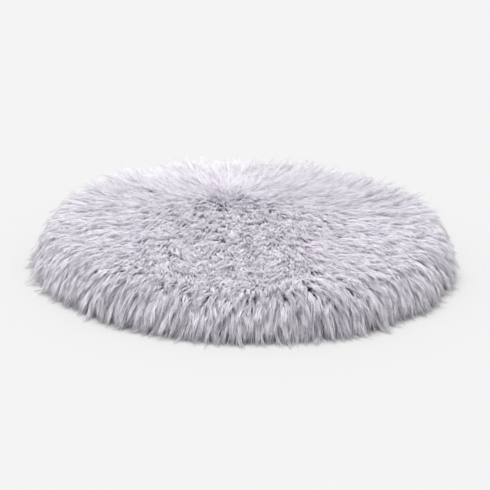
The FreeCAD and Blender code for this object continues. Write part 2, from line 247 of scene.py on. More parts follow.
def gather_tufts(path, centre, owner, rng):
    """Leans neighbouring locks' tips together, so that the pile falls in pointed tufts."""
    count = np.maximum(np.bincount(owner, minlength=TUFTS), 1)[:, None]
    middle = np.zeros((TUFTS,) + path.shape[1:])
    np.add.at(middle, owner, path)
    middle = middle / count[:, :, None]
    t = np.linspace(0, 1, path.shape[1])[None, :, None]
    at_rim = smooth(np.linalg.norm(centre[:, :2], axis=1), 0.21, 0.25)
    hold = rng.uniform(*TUFT_HOLD, TUFTS) + 0.16 * at_rim
    hold = hold[owner][:, None, None]
    pulled = path + (middle[owner] - path) * hold * t ** 1.4
    over = np.maximum(pulled[:, :, 2] - COVER_TOP - FREE_RISE, 0)
    spare = PILE_RISE - FREE_RISE
    pulled[:, :, 2] += spare * np.tanh(over / spare) - over
    pulled[:, :, 2] = np.maximum(pulled[:, :, 2], FLOOR_CLEARANCE)
    return pulled


def strand_paths(locks, normal, comb, rng, per_lock, points, reach, hold, stray_share):
    """Every strand's path: it starts beside its lock's middle line and closes in on it."""
    count, steps = len(locks), locks.shape[1]
    size = (count, per_lock, 1)
    t = np.linspace(0, 1, points)
    at = np.clip(t * rng.uniform(*reach, size), 0, 1) * (steps - 1)
    low = np.minimum(at.astype(int), steps - 2)
    part = (at - low)[..., None]
    which = np.arange(count)[:, None, None]
    middle = locks[which, low] * (1 - part) + locks[which, low + 1] * part
    across = unit(np.cross(normal, comb))
    turn = rng.uniform(0, 2 * math.pi, size)
    spread = LOCK_RADIUS * np.sqrt(rng.uniform(0, 1, size))
    offset = spread * (np.cos(turn) * across[:, None] + np.sin(turn) * comb[:, None])
    stray = rng.uniform(0, 1, (count, per_lock, 1, 1)) < stray_share
    at_rim = smooth(np.linalg.norm(locks[:, 0, :2], axis=1), 0.215, 0.25)[:, None, None, None]
    own_hold = np.where(stray, 0.2, rng.uniform(*hold, (count, 1, 1, 1)) * (1 - 0.42 * at_rim))
    t = t[None, None, :, None]
    closing = 1 - own_hold * t ** 0.8
    flare = rng.normal(size=(count, per_lock, 1, 3)) * np.where(stray, STRAY_FLARE, STRAND_FLARE)
    wave = rng.normal(size=(count, per_lock, 1, 3)) * STRAND_WAVE
    wave = wave * np.sin(2 * math.pi * (t * 1.3 + rng.uniform(0, 1, (count, per_lock, 1, 1))))
    path = middle + offset[:, :, None] * closing + flare * t ** 1.6 + wave * (t > 0)
    path[..., 2] = np.clip(path[..., 2], FLOOR_CLEARANCE * 0.6, COVER_TOP + PILE_RISE + 0.001)
    return path.reshape(-1, points, 3)


# ---- strands as thin tapered tubes ------------------------------------------------
def tube_mesh(name, path, radius, tint, twist):
    """One mesh of closed three-sided tubes, each tapering from its root to its tip."""
    count, points = path.shape[:2]
    rings = points - 1
    along = unit(np.gradient(path, axis=1))
    side = unit(np.cross(along, np.array([0.31, -0.22, 0.93])))
    other = np.cross(along, side)
    t = np.linspace(0, 1, points)
    taper = (1 - t[:rings]) ** 0.55 * (0.75 + 0.25 * np.cos(t[:rings] * 2))
    angle = twist[:, None] + np.arange(3) * (2 * math.pi / 3)
    circle = (np.cos(angle)[:, None, :, None] * side[:, :rings, None]
              + np.sin(angle)[:, None, :, None] * other[:, :rings, None])
    ring = path[:, :rings, None] + circle * (radius[:, None] * taper)[:, :, None, None]
    verts = np.concatenate([ring.reshape(count, rings * 3, 3), path[:, -1:]], 1)
    per = rings * 3 + 1
    quads = [[k * 3 + i, k * 3 + (i + 1) % 3, (k + 1) * 3 + (i + 1) % 3, (k + 1) * 3 + i]
             for k in range(rings - 1) for i in range(3)]
    tips = [[(rings - 1) * 3 + i, (rings - 1) * 3 + (i + 1) % 3, rings * 3] for i in range(3)]
    corners = np.array(sum(quads, []) + sum(tips, []) + [2, 1, 0])
    sizes = np.array([4] * len(quads) + [3] * (len(tips) + 1))
    loops = (corners[None] + np.arange(count)[:, None] * per).ravel()
    starts = np.concatenate([[0], np.cumsum(np.tile(sizes, count))[:-1]])
    mesh = bpy.data.meshes.new(name)
    mesh.vertices.add(count * per)
    mesh.vertices.foreach_set("co", verts.astype(np.float32).ravel())
    mesh.loops.add(len(loops))
    mesh.loops.foreach_set("vertex_index", loops.astype(np.int32))
    mesh.polygons.add(len(starts))
    mesh.polygons.foreach_set("loop_start", starts.astype(np.int32))
    mesh.update(calc_edges=True)
    mesh.shade_smooth()
    height = np.concatenate([np.repeat(t[:rings], 3), [1.0]])[corners]
    sideways = np.concatenate([np.tile([0.0, 0.5, 1.0], rings), [0.5]])[corners] * 0.004
    uv = np.stack([tint[:, None] + sideways[None], np.tile(height, (count, 1))], 2)
    mesh.uv_layers.new(name="OFBake").data.foreach_set("uv", uv.astype(np.float32).ravel())
    return mesh


def make_layer(name, locks, path, lock_tint, thickness, material, rng):
    """One layer of the pile, in sectors round the bed."""
    per_lock = len(path) // len(locks)
    tint = np.clip(np.repeat(lock_tint, per_lock) + 0.17 * rng.normal(size=len(path)), 0.0, 0.99)
    radius = thickness * rng.uniform(0.7, 1.25, len(path))
    twist = rng.uniform(0, 2 * math.pi, len(path))
    bearing = np.repeat(np.arctan2(locks[:, 0, 1], locks[:, 0, 0]), per_lock)
    sector = ((bearing + math.pi) / (2 * math.pi) * FUR_PIECES).astype(int) % FUR_PIECES
    pieces = []
    for k in range(FUR_PIECES):
        mine = sector == k
        mesh = tube_mesh(f"{name}_{k + 1:02d}", path[mine], radius[mine], tint[mine], twist[mine])
        pieces.append(place_piece(mesh, "cushion", material, "top_fur_pile"))
    return pieces


def make_fur():
    rng = np.random.default_rng(41)
    locks, normal, comb, centre, owner = lock_paths(rng)
    locks = gather_tufts(locks, centre, owner, rng)
    lock_tint = 0.56 + 0.17 * rng.normal(size=LOCKS) + 0.08 * rng.normal(size=TUFTS)[owner]
    material = fur_material()
    long_hair = strand_paths(locks, normal, comb, rng, **LONG_STRANDS)
    pieces = make_layer("fur_pile", locks, long_hair, lock_tint, STRAND_RADIUS, material, rng)
    under = strand_paths(locks, normal, comb, rng, **UNDER_STRANDS)
    thickness = STRAND_RADIUS * UNDER_THICKER
    return pieces + make_layer("underfur", locks, under, lock_tint, thickness, material, rng)


# ---- materials --------------------------------------------------------------------
def new_material(name):
    material = bpy.data.materials.new(name)
    material.use_nodes = True
    tree = material.node_tree
    return material, tree, tree.nodes["Principled BSDF"]


def ramp(tree, factor, stops):
    node = tree.nodes.new("ShaderNodeValToRGB")
    while len(node.color_ramp.elements) < len(stops):
        node.color_ramp.elements.new(0.5)
    for element, (place, colour) in zip(node.color_ramp.elements, stops):
        element.position = place
        element.color = (*colour, 1)
    tree.links.new(factor, node.inputs["Fac"])
    return node.outputs["Color"]


def blend_colours(tree, kind, factor, a, b):
    node = tree.nodes.new("ShaderNodeMix")
    node.data_type = "RGBA"
    node.blend_type = kind
    node.inputs[0].default_value = factor
    tree.links.new(a, node.inputs[6])
    tree.links.new(b, node.inputs[7])
    return node.outputs[2]


def fur_material():
    """Pale lavender-grey fibre, with painted shade darkening it towards the root; each lock and strand a
    little different.
    """
    material, tree, shader = new_material("fur_pile")
    uv = tree.nodes.new("ShaderNodeUVMap")
    uv.uv_map = "OFBake"
    split = tree.nodes.new("ShaderNodeSeparateXYZ")
    tree.links.new(uv.outputs["UV"], split.inputs[0])
    # darker towards the root: painted shade down in the pile between the locks
    length = ramp(tree, split.outputs["Y"], [(0.0, (0.74, 0.70, 0.78)), (0.3, (0.915, 0.885, 0.94)),
                                             (0.7, (0.966, 0.954, 0.982)), (1.0, (0.984, 0.974, 0.995))])
    lock = ramp(tree, split.outputs["X"], [(0.0, (0.58, 0.53, 0.62)), (0.3, (0.86, 0.83, 0.88)),
                                           (0.55, (0.978, 0.973, 0.985)), (1.0, (1.0, 1.0, 1.0))])
    tree.links.new(blend_colours(tree, "MULTIPLY", 1.0, length, lock), shader.inputs["Base Color"])
    shader.inputs["Roughness"].default_value = 0.75
    shader.inputs["Specular IOR Level"].default_value = 0.12
    return material


# ---- placing pieces ---------------------------------------------------------------
def dress_piece(piece, body, material, node):
    """Gives a piece its material and its body, and hides the CAD node that it stands for."""
    piece.data.materials.clear()
    piece.data.materials.append(material)
    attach(piece, body)
    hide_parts(node)
    return piece


def place_piece(mesh, body, material, node):
    piece = bpy.data.objects.new(mesh.name, mesh)
    bpy.context.scene.collection.objects.link(piece)
    return dress_piece(piece, body, material, node)


# ---- sheets of cloth --------------------------------------------------------------
def built(name, verts, faces):
    """A mesh from points and faces, with its faces all turned outwards."""
    mesh = bpy.data.meshes.new(name)
    mesh.from_pydata(np.asarray(verts).tolist(), [], [list(face) for face in faces])
    shape = bmesh.new()
    shape.from_mesh(mesh)
    bmesh.ops.recalc_face_normals(shape, faces=shape.faces)
    shape.to_mesh(mesh)
    shape.free()
    mesh.shade_smooth()
    return mesh


def grid_normals(grid, around):
    if around:
        wide = np.concatenate([grid[:, -2:], grid, grid[:, :2]], 1)
        return unit(np.cross(np.gradient(wide, axis=0), np.gradient(wide, axis=1)))[:, 2:-2]
    return unit(np.cross(np.gradient(grid, axis=0), np.gradient(grid, axis=1)))


def thick_sheet(grid, thickness, around=False):
    """Points and faces of a cloth: a grid, the same grid a thickness away, and the rim between."""
    rows, columns = grid.shape[:2]
    count = rows * columns
    away = grid + grid_normals(grid, around) * thickness
    verts = np.concatenate([grid.reshape(-1, 3), away.reshape(-1, 3)])
    index = np.arange(count).reshape(rows, columns)
    if around:
        index = np.concatenate([index, index[:, :1]], 1)
    faces = np.stack([index[:-1, :-1], index[:-1, 1:], index[1:, 1:], index[1:, :-1]], -1).reshape(-1, 4)
    edges = [index[0], index[-1][::-1]]
    if not around:
        edges += [index[:, 0][::-1], index[:, -1]]
    rims = [np.stack([e[1:], e[:-1], e[:-1] + count, e[1:] + count], -1) for e in edges]
    return verts, np.concatenate([faces, faces[:, ::-1] + count] + rims).tolist()


def merged(parts):
    """Several sets of points and faces as one."""
    verts, faces, start = [], [], 0
    for points, polygons in parts:
        verts.append(points)
        faces += [[corner + start for corner in face] for face in polygons]
        start += len(points)
    return np.concatenate(verts), faces


def lower_profile(radius, middle, bottom, steps=60):
    """Length along the cloth, radius and height, from the middle of the underside to the seam."""
    foot = middle - bottom
    angle = np.linspace(0, math.pi / 2, steps)
    run = np.concatenate([[0.0], radius - foot + foot * angle])
    across = np.concatenate([[0.0], radius - foot + foot * np.sin(angle)])
    height = np.concatenate([[bottom], middle - foot * np.cos(angle)])
    return run, across, height


def upper_profile(radius, top, middle, shoulder):
    """The same over a crown, from its middle to the seam."""
    across, height, _ = cover_profile(radius, top, middle, shoulder, 60)
    run = np.concatenate([[0.0], np.cumsum(np.hypot(np.diff(across), np.diff(height)))])
    return run, across, height


def disc_rows(reach, heights, columns):
    """Flat points in straight rows across a disc, one row at each of those heights on it."""
    half = np.sqrt(np.maximum(reach ** 2 - heights ** 2, (0.02 * reach) ** 2))
    across = np.sin(np.linspace(-1, 1, columns) * 1.1) / math.sin(1.1)
    return np.stack([across[None] * half[:, None], np.repeat(heights[:, None], columns, 1)], -1)


def wrapped(flat, profile):
    """Flat cloth laid over a round form."""
    run, radius, height = profile
    far = np.maximum(np.linalg.norm(flat, axis=-1), 1e-9)
    out = flat / far[..., None] * np.interp(far, run, radius)[..., None]
    return np.concatenate([out, np.interp(far, run, height)[..., None]], -1)


def round_rows(reach, count):
    """Heights of rows across a disc, closer together towards its ends."""
    return -reach * np.cos(np.linspace(0.02, math.pi - 0.02, count))


def folded_edge(radius, middle, inset, foot, start, end, columns, around):
    """A seam allowance: from the seam it folds in and runs down inside the cushion."""
    turn = np.linspace(start, end, columns, endpoint=not around)
    down = np.linspace(0, SEAM_ALLOWANCE / foot, 8)
    across = np.concatenate([radius - inset * np.array([0.0, 0.5, 0.85]),
                             radius - inset - foot * (1 - np.cos(down))])
    height = np.concatenate([middle + 0.0001 * np.array([0, 2, 0]), middle - 0.0004 - foot * np.sin(down)])
    across = across[:, None] + 0.00015 * np.sin(turn * 150)[None] * np.linspace(0, 1, len(across))[:, None]
    return np.stack([across * np.cos(turn), across * np.sin(turn),
                     np.repeat(height[:, None], columns, 1)], -1)


# ---- the cover's cloths -------------------------------------------------------------
def make_backing():
    """The knit that the pile grows from, stretched over the stuffed cushion."""
    rng = np.random.default_rng(3)
    profile = upper_profile(COVER_RADIUS, COVER_TOP, SEAM_Z, SHOULDER)
    reach = profile[0][-1]
    grid = wrapped(disc_rows(reach, round_rows(reach, 120), 130), profile)
    bearing = np.arctan2(grid[..., 1], grid[..., 0])
    near_seam = 1 - smooth(grid[..., 2], SEAM_Z + 0.002, SEAM_Z + 0.016)
    ripple = 0.0002 * wave_field(rng, 0.03)(grid) + 0.0003 * near_seam * np.sin(bearing * 96)
    grid[..., 2] -= 0.0003 + np.abs(ripple)
    dome = thick_sheet(grid, BACKING_THICKNESS * 0.75)
    edge = folded_edge(COVER_RADIUS, SEAM_Z, 2 * CLOTH_LAYER, SEAM_Z - 0.002, 0, 2 * math.pi, 300, True)
    mesh = built("knit_backing", *merged([dome, thick_sheet(edge, -BACKING_THICKNESS * 0.7, around=True)]))
    piece = place_piece(mesh, "cushion", knit_material(), "top_fur_backing")


def zip_recess(flat, grow, depth):
    """How far a cloth under the cushion is lifted over the zip at each of its points."""
    inside = np.minimum(RECESS_X + grow - np.abs(flat[..., 0]),
                        RECESS_Y + grow - np.abs(flat[..., 1] - ZIP_Y))
    return depth * smooth(inside, -0.0005, depth * 1.1 + 0.0005)


def base_grid(side):
    """One panel of the base cloth, from the zip's line out to the seam."""
    rng = np.random.default_rng(5 + side)
    profile = lower_profile(COVER_RADIUS, SEAM_Z, DOT_HEIGHT)
    reach = profile[0][-1]
    if side < 0:
        heights = np.concatenate([-reach * np.cos(np.linspace(0.02, math.acos(-COARSE_ROWS[0] / reach), 74)),
                                  np.linspace(FINE_ROWS[0], ZIP_Y, 34)])
    else:
        heights = np.concatenate([np.linspace(ZIP_Y, FINE_ROWS[1], 34),
                                  reach * np.cos(np.linspace(math.acos(COARSE_ROWS[1] / reach), 0.02, 56))])
    flat = disc_rows(reach, heights, 216)
    near_zip = smooth(0.025 - np.abs(flat[..., 1] - ZIP_Y), 0, 0.025)
    slot = 1 - smooth(np.abs(flat[..., 0]), *SLOT_END)
    flat[..., 1] += side * near_zip * (0.0001 + SLOT_Y * slot)
    grid = wrapped(flat, profile)
    bearing = np.arctan2(grid[..., 1], grid[..., 0])
    far = np.linalg.norm(flat, axis=-1)
    pucker = smooth(far, reach - 0.032, reach - 0.004) * (1 - smooth(far, reach - 0.003, reach))
    pucker = pucker * (0.6 + 0.4 * wave_field(rng, 0.06)(grid))
    pucker = pucker * np.sin(bearing * 104 + 2 * wave_field(rng, 0.1)(grid))
    inward = unit(grid * np.array([1.0, 1.0, 0.0])) * 0.0007 * pucker[..., None]
    from_zip = np.abs(flat[..., 1] - ZIP_Y)
    hem = np.exp(-((from_zip - SLOT_Y - 0.0016) / 0.0012) ** 2) * slot
    stitched = np.exp(-((from_zip - STITCH_Y) / 0.0011) ** 2)
    stitched = stitched * (0.7 + 0.3 * np.sin(flat[..., 0] * 2 * math.pi / 0.009))
    lift = zip_recess(flat, 0, RECESS_DEPTH - DOT_HEIGHT)
    grid[..., 2] += lift + 0.0001 * (1 + wave_field(rng, 0.035)(grid))
    grid[..., 2] += (0.0004 * stitched - 0.0005 * hem) * smooth(0.2 - np.abs(flat[..., 0]), 0, 0.004)
    return grid - inward


def make_base(side, name):
    """One base panel with its seam allowance: side is -1 for the front one and 1 for the rear one."""
    sheet = thick_sheet(base_grid(side), -BASE_THICKNESS)
    cut_at = math.asin(ZIP_Y / COVER_RADIUS)
    start, end = (cut_at, math.pi - cut_at) if side > 0 else (math.pi - cut_at, 2 * math.pi + cut_at)
    band = folded_edge(COVER_RADIUS, SEAM_Z - 0.0002, CLOTH_LAYER, SEAM_Z - 0.001, start, end, 200, False)
    mesh = built("base_cloth_" + name, *merged([sheet, thick_sheet(band, -BASE_THICKNESS)]))
    node = "base_panel_" + name
    piece = place_piece(mesh, "cushion", base_material(), node)
    dots = make_dots(side, name)


def make_dots(side, name):
    """The moulded anti-slip dots on the underside of one base panel."""
    row, column = np.mgrid[-30:31, -30:31]
    x = (column + 0.5 * (row % 2)) * DOT_PITCH
    y = row * DOT_PITCH * math.sqrt(0.75) + 0.004
    clear_of_zip = zip_recess(np.stack([x, y], -1), 0.004, 0.009) == 0
    keep = (np.hypot(x, y) < DOTS_REACH) & clear_of_zip & ((y - ZIP_Y) * side > 0.001)
    centres = np.stack([x[keep], y[keep]], 1)
    turn = np.linspace(0, 2 * math.pi, DOT_SIDES, endpoint=False)
    rings = [(DOT_RADIUS, DOT_HEIGHT + 0.0002), (DOT_RADIUS, DOT_HEIGHT - 0.00004),
             (DOT_RADIUS * 0.88, 0.00012), (DOT_RADIUS * 0.55, 0.00002)]
    dot = np.concatenate([np.stack([r * np.cos(turn), r * np.sin(turn), np.full(DOT_SIDES, z)], 1)
                          for r, z in rings])
    n = DOT_SIDES
    last = (len(rings) - 1) * n
    faces = [[k * n + i, k * n + (i + 1) % n, (k + 1) * n + (i + 1) % n, (k + 1) * n + i]
             for k in range(len(rings) - 1) for i in range(n)]
    faces += [list(range(n)), list(range(last, last + n))]
    verts = (dot[None] + np.append(centres, np.zeros((len(centres), 1)), 1)[:, None]).reshape(-1, 3)
    every = [[corner + len(dot) * k for corner in face] for k in range(len(centres)) for face in faces]
    mesh = built("grip_dots_" + name, verts, every)
    return place_piece(mesh, "cushion", dot_material(), "base_panel_" + name)


def make_label():
    """A blank satin wash label that lies inside the cover, its ends a little curled."""
    low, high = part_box("care_label")
    x, y = np.meshgrid(np.linspace(low.x, high.x, 60), np.linspace(low.y, high.y, 24), indexing="ij")
    u = (x - low.x) / (high.x - low.x) * 2 - 1
    v = (y - low.y) / (high.y - low.y) * 2 - 1
    z = low.z + 0.00018 + 0.00022 * u ** 4 + 0.00005 * np.sin(u * 9 + v * 3) + 0.00005 * v ** 2
    mesh = built("wash_label", *thick_sheet(np.stack([x, y, z], -1), LABEL_THICKNESS))
    piece = place_piece(mesh, "cushion", label_material(), "care_label")


# ---- threads ------------------------------------------------------------------------
def tube(path, radius, sides, closed=False):
    """Points and faces of a round tube along a path."""
    count = len(path)
    if closed:
        along = unit(np.roll(path, -1, 0) - np.roll(path, 1, 0))
    else:
        along = unit(np.gradient(path, axis=0))
    side = unit(np.cross(along, np.array([0.13, 0.21, 0.97])))
    other = np.cross(along, side)
    angle = np.linspace(0, 2 * math.pi, sides, endpoint=False)
    ring = path[:, None] + radius * (np.cos(angle)[None, :, None] * side[:, None]
                                     + np.sin(angle)[None, :, None] * other[:, None])
    last = count if closed else count - 1
    k, i = np.meshgrid(np.arange(last), np.arange(sides), indexing="ij")
    after, beside = (k + 1) % count, (i + 1) % sides
    faces = np.stack([k * sides + i, k * sides + beside, after * sides + beside, after * sides + i], -1)
    faces = faces.reshape(-1, 4).tolist()
    if not closed:
        faces += [list(range(sides))[::-1], [(count - 1) * sides + s for s in range(sides)]]
    return ring.reshape(-1, 3), faces


def stitched_line(start, way, length, pitch, dip, radius, sides=6):
    """A straight row of stitches: the thread dives into the cloth at each hole."""
    run = np.linspace(0, length, int(length / pitch) * 6 + 1)
    into = 1 - np.abs(np.sin(math.pi * run / pitch)) ** 0.4
    path = np.array(start) + run[:, None] * np.array(way) + into[:, None] * np.array(dip)
    return tube(path, radius, sides)


def stitched_round(radius, height, pitch, dip, thread, sides=6):
    """The same in a circle, diving by dip along the radius and upwards."""
    stitches = int(2 * math.pi * radius / pitch)
    turn = np.linspace(0, 2 * math.pi, stitches * 5, endpoint=False)
    into = 1 - np.abs(np.sin(turn * stitches / 2)) ** 0.4
    far = radius + into * dip[0]
    path = np.stack([far * np.cos(turn), far * np.sin(turn), height + into * dip[1]], 1)
    return tube(path, thread, sides, closed=True)


def make_threads():
    thread = thread_material()
    low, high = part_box("cover_seam_thread")
    seam = stitched_round((high.x - low.x) / 2 - 0.0004, (low.z + high.z) / 2, 0.004, (0.0005, 0), 0.00034)
    place_piece(built("cover_stitching", *seam), "cushion", thread, "cover_seam_thread")
    low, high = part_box("liner_seam_thread")
    radius = (high.x - low.x) / 2 - 0.00025
    seam = stitched_round(radius, (low.z + high.z) / 2, 0.003, (0.0003, 0), 0.00022, 5)
    place_piece(built("liner_stitching", *seam), "cushion", thread, "liner_seam_thread")
    low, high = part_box("zip_topstitching")
    rows = [stitched_line((low.x, y, low.z + 0.0003), (1, 0, 0), high.x - low.x,
                          0.0031, (0, 0, 0.0006), 0.00026)
            for y in (low.y + 0.0003, high.y - 0.0003)]
    place_piece(built("tape_stitching", *merged(rows)), "cushion", thread, "zip_topstitching")


# ---- the zip ------------------------------------------------------------------------
def make_tape(name):
    """A woven tape with a corded edge beside the coil and a selvage at the other."""
    node = "zip_tape_" + name
    low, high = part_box(node)
    x, v = np.meshgrid(np.linspace(low.x, high.x, 200), np.linspace(0, 1, 26), indexing="ij")
    y = low.y + v * (high.y - low.y)
    inner = v if name == "rear" else 1 - v
    bead = np.exp(-((inner - 0.05) / 0.05) ** 2) + 0.5 * np.exp(-((inner - 0.97) / 0.02) ** 2)
    z = low.z + 0.00008 - 0.00007 * bead + 0.00003 * np.sin(x * 2 * math.pi / 0.037 + 3 * inner) * inner
    mesh = built("tape_" + name, *thick_sheet(np.stack([x, y, z], -1), TAPE_THICKNESS))
    piece = place_piece(mesh, "cushion", tape_material(), node)


def make_coil(name):
    """The real turns of one row of nylon coil, and the two threads that sew it to its tape."""
    node = "zip_coil_" + name
    low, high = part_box(node)
    pitch, wire = COIL_PITCH, COIL_WIRE
    turns = int((high.x - low.x - 2 * wire) / pitch)
    t = np.arange(turns * COIL_STEPS + 1) * (2 * math.pi / COIL_STEPS)
    half_y, half_z = (high.y - low.y) / 2 - wire, (high.z - low.z) / 2 - wire
    cos, sin = np.cos(t), np.sin(t)
    side = 1 if name == "rear" else -1
    shift = 0.25 * pitch * (1 + side)
    path = np.stack([low.x + wire + shift * 0.5 + t * pitch / (2 * math.pi),
                     (low.y + high.y) / 2 + half_y * np.sign(cos) * np.abs(cos) ** 0.75,
                     (low.z + high.z) / 2 + half_z * np.sign(sin) * np.abs(sin) ** 0.8], 1)
    rows = [tube(path, wire, 5)]
    for off in (-0.25, 0.45):
        y = (low.y + high.y) / 2 + side * off * half_y
        rows.append(stitched_line((low.x, y, low.z + 0.00013), (1, 0, 0), high.x - low.x,
                                  2 * pitch, (0, 0, 0.0004), 0.00012, 4))
    mesh = built("coil_" + name, *merged(rows))
    place_piece(mesh, "cushion", nylon_material(), node)


def make_metal(node, name, body, width):
    """A zip casting: the CAD part's shape with its edges rounded over."""
    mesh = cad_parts[node].data.copy()
    mesh.name = name
    shape = bmesh.new()
    shape.from_mesh(mesh)
    bmesh.ops.remove_doubles(shape, verts=shape.verts, dist=1e-6)
    bmesh.ops.dissolve_limit(shape, angle_limit=math.radians(2), verts=shape.verts, edges=shape.edges)
    sharp = [e for e in shape.edges if len(e.link_faces) == 2 and e.calc_face_angle() > math.radians(40)]
    bmesh.ops.bevel(shape, geom=sharp, offset=width, segments=3, profile=0.5, affect="EDGES",
                    clamp_overlap=True)
    bmesh.ops.triangulate(shape, faces=[f for f in shape.faces if len(f.verts) > 4])
    bmesh.ops.recalc_face_normals(shape, faces=shape.faces)
    shape.to_mesh(mesh)
    shape.free()
    mesh.shade_smooth()
    mesh.set_sharp_from_angle(angle=math.radians(38))
    place_piece(mesh, body, metal_material(), node)


def make_zip():
    for name in ("front", "rear"):
        make_coil(name)
        make_tape(name)
    make_metal("zip_top_stops", "top_stops", "cushion", 0.00022)
    make_metal("zip_bottom_stop", "bottom_stop", "cushion", 0.00035)
    make_metal("zip_slider_body", "slider", "zip_slider", 0.0002)
    make_metal("zip_pull_tab", "pull_tab", "pull_tab", 0.00025)


# ---- the liner and its filling --------------------------------------------------------
def make_liner():
    rng = np.random.default_rng(11)
    radius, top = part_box("liner_top_panel")[1].x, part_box("liner_top_panel")[1].z
    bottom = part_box("liner_bottom_panel")[0].z
    upper = upper_profile(radius, top, SEAM_Z, LINER_SHOULDER)
    reach = upper[0][-1]
    grid = wrapped(disc_rows(reach, round_rows(reach, 96), 104), upper)
    crumple = np.abs(wave_field(rng, 0.045)(grid)) * np.abs(wave_field(rng, 0.02)(grid))
    grid[..., 2] -= 0.0005 * np.clip(crumple, 0, 1.2)
    mesh = built("liner_top", *thick_sheet(grid, LINER_THICKNESS))
    piece = place_piece(mesh, "cushion", liner_material(), "liner_top_panel")
    lower = lower_profile(radius, SEAM_Z, bottom)
    reach = lower[0][-1]
    flat = disc_rows(reach, round_rows(reach, 150), 110)
    grid = wrapped(flat, lower)
    grid[..., 2] += zip_recess(flat, LINER_RECESS_GROW, LINER_RECESS_HEIGHT - bottom)
    crumple = np.abs(wave_field(rng, 0.04)(grid)) * np.abs(wave_field(rng, 0.02)(grid))
    grid[..., 2] += 0.0005 * np.clip(crumple, 0, 1.2) * (1 - smooth(grid[..., 2], 0.012, 0.02))
    mesh = built("liner_bottom", *thick_sheet(grid, -LINER_THICKNESS))
    piece = place_piece(mesh, "cushion", liner_material(), "liner_bottom_panel")


def remeshed(mesh, voxel):
    """A copy of a mesh as an object of its own, in even voxels."""
    piece = bpy.data.objects.new("fibre_filling", mesh.copy())
    bpy.context.scene.collection.objects.link(piece)
    modifier = piece.modifiers.new("even", "REMESH")
    modifier.mode = "VOXEL"
    modifier.voxel_size = voxel
    modifier.use_smooth_shade = True
    return piece


def apply_modifiers(piece):
    bpy.context.view_layer.update()
    shape = bpy.data.meshes.new_from_object(piece.evaluated_get(bpy.context.evaluated_depsgraph_get()))
    piece.modifiers.clear()
    piece.data = shape


def positions(mesh):
    found = np.empty(len(mesh.vertices) * 3, np.float32)
    mesh.vertices.foreach_get("co", found)
    return found.reshape(-1, 3).astype(float)


def normals(mesh):
    found = np.empty(len(mesh.vertices) * 3, np.float32)
    mesh.vertex_normals.foreach_get("vector", found)
    return found.reshape(-1, 3).astype(float)


def move_points(mesh, points):
    mesh.vertices.foreach_set("co", points.astype(np.float32).ravel())
    mesh.update()


def swell(piece, most):
    """Blows the filling up as a cloth skin under pressure, and holds it near where it began."""
    before = positions(piece.data)
    cloth = piece.modifiers.new("swell", "CLOTH")
    cloth.settings.use_pressure = True
    cloth.settings.uniform_pressure_force = 4.0
    cloth.settings.effector_weights.gravity = 0.0
    cloth.settings.quality = 5
    cloth.settings.tension_stiffness = 15
    cloth.settings.bending_stiffness = 0.5
    cloth.collision_settings.use_collision = False
    scene = bpy.context.scene
    for number in range(1, SWELL_FRAMES + 1):
        scene.frame_set(number)
        bpy.context.view_layer.update()
    apply_modifiers(piece)
    scene.frame_set(1)
    moved = positions(piece.data) - before
    far = np.linalg.norm(moved, axis=1, keepdims=True)
    moved = moved * np.minimum(1, most / np.maximum(far, 1e-9))
    return before + moved


def make_filling():
    """Loose polyester fibre: swollen by pressure in the bag, then lumpy."""
    rng = np.random.default_rng(17)
    piece = remeshed(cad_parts["fibre_fill"].data, FILLING_VOXEL)
    apply_modifiers(piece)
    mesh = piece.data
    start = positions(mesh) - FILLING_GAP * normals(mesh)
    move_points(mesh, start)
    shape = swell(piece, MOST_SWELL)
    move_points(piece.data, shape)
    finer = piece.modifiers.new("finer", "SUBSURF")
    finer.levels = finer.render_levels = 1
    apply_modifiers(piece)
    mesh = piece.data
    place = positions(mesh)
    lumps = 0.5 * wave_field(rng, 0.05)(place) + 0.5 * wave_field(rng, 0.018)(place)
    place = place - normals(mesh) * (0.0004 * np.clip(1 + lumps, 0, 2.5))[:, None]
    move_points(mesh, place)
    mesh.shade_smooth()
    dress_piece(piece, "cushion", fibre_material(), "fibre_fill")


# ---- materials of the parts under the pile ----------------------------------------------
def add(tree, kind, **settings):
    made = tree.nodes.new(kind)
    for key, value in settings.items():
        setattr(made, key, value)
    return made


def maths(tree, operation, *values):
    made = add(tree, "ShaderNodeMath", operation=operation)
    for socket, value in zip(made.inputs, values):
        if isinstance(value, bpy.types.NodeSocket):
            tree.links.new(value, socket)
        else:
            socket.default_value = value
    return made.outputs[0]


def axes(tree):
    """The object's own X, Y and Z in metres, and all three as one vector."""
    where = add(tree, "ShaderNodeTexCoord")
    split = add(tree, "ShaderNodeSeparateXYZ")
    tree.links.new(where.outputs["Object"], split.inputs[0])
    return split.outputs["X"], split.outputs["Y"], split.outputs["Z"], where.outputs["Object"]


def noise(tree, scale, detail=3.0):
    made = add(tree, "ShaderNodeTexNoise")
    made.inputs["Scale"].default_value = scale
    made.inputs["Detail"].default_value = detail
    tree.links.new(axes(tree)[3], made.inputs["Vector"])
    return made.outputs["Fac"]


def stripes(tree, along, pitch):
    """A ripple from 0 to 1 with that pitch in metres."""
    wave = maths(tree, "SINE", maths(tree, "MULTIPLY", along, 2 * math.pi / pitch))
    return maths(tree, "MULTIPLY_ADD", wave, 0.5, 0.5)


def weave(tree, pitch):
    """Plain weave: threads over and under each other."""
    x, y, _, _ = axes(tree)
    over = maths(tree, "MULTIPLY_ADD", stripes(tree, x, pitch), 2.0, -1.0)
    under = maths(tree, "MULTIPLY_ADD", stripes(tree, y, pitch), 2.0, -1.0)
    return maths(tree, "MULTIPLY_ADD", maths(tree, "MULTIPLY", over, under), 0.5, 0.5)


def knit(tree, pitch):
    """Rows of small loops."""
    x, y, _, _ = axes(tree)
    lean = maths(tree, "PINGPONG", y, pitch)
    loops = stripes(tree, maths(tree, "ADD", x, lean), pitch)
    return maths(tree, "MULTIPLY", loops, stripes(tree, y, pitch * 1.4))


